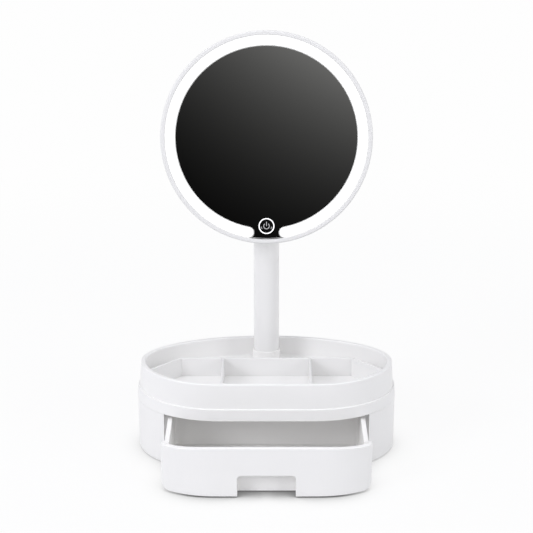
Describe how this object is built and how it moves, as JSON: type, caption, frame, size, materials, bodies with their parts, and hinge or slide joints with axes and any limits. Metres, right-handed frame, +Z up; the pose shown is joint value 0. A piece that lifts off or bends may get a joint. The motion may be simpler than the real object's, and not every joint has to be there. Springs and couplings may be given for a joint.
{
  "type": "vanity mirror with drawer",
  "caption": "Round tilting vanity mirror with a ring light on a swivel column, over an oval base with a divided open tray and a sliding drawer.",
  "frame": {"origin": "on the table, under the middle of the oval base (the middle of its widest cross section)", "axes": "+X to the right of the mirror as its user sees it, -Y to the front, where the drawer opens, +Z up"},
  "size_m": [0.256, 0.1996, 0.4094],
  "materials": {
    "shell": "satin moulded white ABS",
    "foot_rubber": "matt light grey rubber",
    "screw_steel": "plated steel",
    "bracket": "satin moulded white nylon",
    "washer_nylon": "natural nylon",
    "mirror": "polished silvered glass, 3 mm",
    "pad_foam": "closed-cell foam",
    "diffuser": "opal acrylic, lit from behind",
    "board": "white solder mask",
    "led_chip": "phosphor resin",
    "socket_shell": "plated steel",
    "cell": "foil pouch"
  },
  "bodies": {
    "base": {"drawer_housing": "shell", "rubber_feet": "foot_rubber", "deck_band": "shell", "deck_screws": "screw_steel", "organiser_tray": "shell", "divider": "shell", "column_socket": "shell", "socket_screws": "screw_steel"},
    "column": {"column_foot": "shell", "column_tube": "shell", "foot_washer": "screw_steel", "foot_screw": "screw_steel", "hinge_yoke": "shell", "hinge_bolt": "screw_steel", "hinge_nut": "screw_steel", "friction_washers": "washer_nylon"},
    "head": {"hinge_bracket": "bracket", "bracket_screws": "screw_steel", "back_cover": "shell", "head_screws": "screw_steel", "front_frame": "shell", "glass_pad": "pad_foam", "touch_pad": "pad_foam", "mirror_glass": "mirror", "light_diffuser": "diffuser", "led_board": "board", "leds": "led_chip", "control_board": "board", "usb_socket": "socket_shell", "battery": "cell"},
    "drawer": {"drawer_box": "shell", "drawer_front": "shell", "drawer_screws": "screw_steel"}
  },
  "joints": [
    {"name": "drawer_slide", "type": "slide", "parent": "base", "child": "drawer", "axis": [0, -1, 0], "range_m": [-0.057, 0.028]},
    {"name": "column_swivel", "type": "hinge", "parent": "base", "child": "column", "pos_m": [0, 0.044, 0.0624], "axis": [0, 0, 1], "continuous": true},
    {"name": "head_tilt", "type": "hinge", "parent": "column", "child": "head", "pos_m": [0, 0.044, 0.3036], "axis": [-1, 0, 0], "range_deg": [-13.4, 60]}
  ]
}
